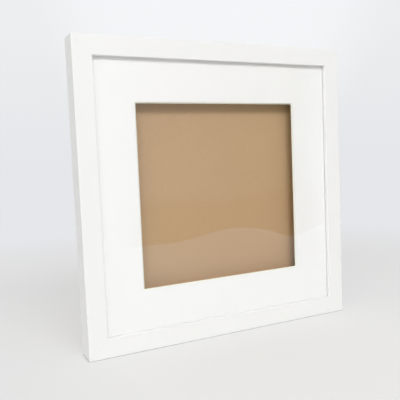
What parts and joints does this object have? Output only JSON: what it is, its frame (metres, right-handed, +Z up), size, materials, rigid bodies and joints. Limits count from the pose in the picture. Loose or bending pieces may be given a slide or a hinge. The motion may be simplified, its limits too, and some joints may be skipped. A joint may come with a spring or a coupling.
{
  "type": "picture frame",
  "caption": "Square white box frame with a bevelled mat window, a set-back board, bend-over back tabs and ring hangers; stands on its edge or hangs.",
  "frame": {"origin": "middle of the bottom face that the frame stands on, half-way through the depth of the rails", "axes": "+X to the right seen from the front, +Y from the front to the back, +Z up"},
  "size_m": [0.332, 0.0306, 0.331],
  "materials": {
    "white_lacquer": "satin",
    "nail_steel": "satin",
    "clear_sheet": "gloss",
    "mat_paper": "matte",
    "spacer_strip": "matte",
    "fibreboard": "matte",
    "tab_steel": "satin",
    "plated_steel": "satin",
    "bumper_rubber": "matte"
  },
  "bodies": {
    "frame": {"rail_top": "white_lacquer", "rail_bottom": "white_lacquer", "rail_left": "white_lacquer", "rail_right": "white_lacquer", "corner_nails": "nail_steel", "glazing_sheet": "clear_sheet", "mat_board": "mat_paper", "spacer_top": "spacer_strip", "spacer_bottom": "spacer_strip", "spacer_left": "spacer_strip", "spacer_right": "spacer_strip", "backing_board": "fibreboard", "tab_shanks": "tab_steel", "hanger_strap_left": "plated_steel", "hanger_strap_right": "plated_steel", "hanger_screws": "plated_steel", "wall_bumpers": "bumper_rubber"},
    "tab_top_left": {"tab_top_left": "tab_steel"},
    "tab_top_right": {"tab_top_right": "tab_steel"},
    "tab_bottom_left": {"tab_bottom_left": "tab_steel"},
    "tab_bottom_right": {"tab_bottom_right": "tab_steel"},
    "tab_left_upper": {"tab_left_upper": "tab_steel"},
    "tab_left_lower": {"tab_left_lower": "tab_steel"},
    "tab_right_upper": {"tab_right_upper": "tab_steel"},
    "tab_right_lower": {"tab_right_lower": "tab_steel"},
    "ring_left": {"hanger_ring_left": "plated_steel"},
    "ring_right": {"hanger_ring_right": "plated_steel"}
  },
  "joints": [
    {"name": "tab_top_left_bend", "type": "hinge", "parent": "frame", "child": "tab_top_left", "pos_m": [-0.075, 0.0085, 0.3161], "axis": [1, 0, 0], "range_deg": [0, 85]},
    {"name": "tab_top_right_bend", "type": "hinge", "parent": "frame", "child": "tab_top_right", "pos_m": [0.075, 0.0085, 0.3161], "axis": [1, 0, 0], "range_deg": [0, 85]},
    {"name": "tab_bottom_left_bend", "type": "hinge", "parent": "frame", "child": "tab_bottom_left", "pos_m": [-0.075, 0.0085, 0.0149], "axis": [-1, 0, 0], "range_deg": [0, 85]},
    {"name": "tab_bottom_right_bend", "type": "hinge", "parent": "frame", "child": "tab_bottom_right", "pos_m": [0.075, 0.0085, 0.0149], "axis": [-1, 0, 0], "range_deg": [0, 85]},
    {"name": "tab_left_upper_bend", "type": "hinge", "parent": "frame", "child": "tab_left_upper", "pos_m": [-0.1511, 0.0085, 0.2405], "axis": [0, 0, 1], "range_deg": [0, 85]},
    {"name": "tab_left_lower_bend", "type": "hinge", "parent": "frame", "child": "tab_left_lower", "pos_m": [-0.1511, 0.0085, 0.0905], "axis": [0, 0, 1], "range_deg": [0, 85]},
    {"name": "tab_right_upper_bend", "type": "hinge", "parent": "frame", "child": "tab_right_upper", "pos_m": [0.1511, 0.0085, 0.2405], "axis": [0, 0, -1], "range_deg": [0, 85]},
    {"name": "tab_right_lower_bend", "type": "hinge", "parent": "frame", "child": "tab_right_lower", "pos_m": [0.1511, 0.0085, 0.0905], "axis": [0, 0, -1], "range_deg": [0, 85]},
    {"name": "ring_left_swing", "type": "hinge", "parent": "frame", "child": "ring_left", "pos_m": [-0.15725, 0.0152, 0.2245], "axis": [1, 0, 0], "range_deg": [0, 174]},
    {"name": "ring_right_swing", "type": "hinge", "parent": "frame", "child": "ring_right", "pos_m": [0.15725, 0.0152, 0.2245], "axis": [1, 0, 0], "range_deg": [0, 174]}
  ]
}
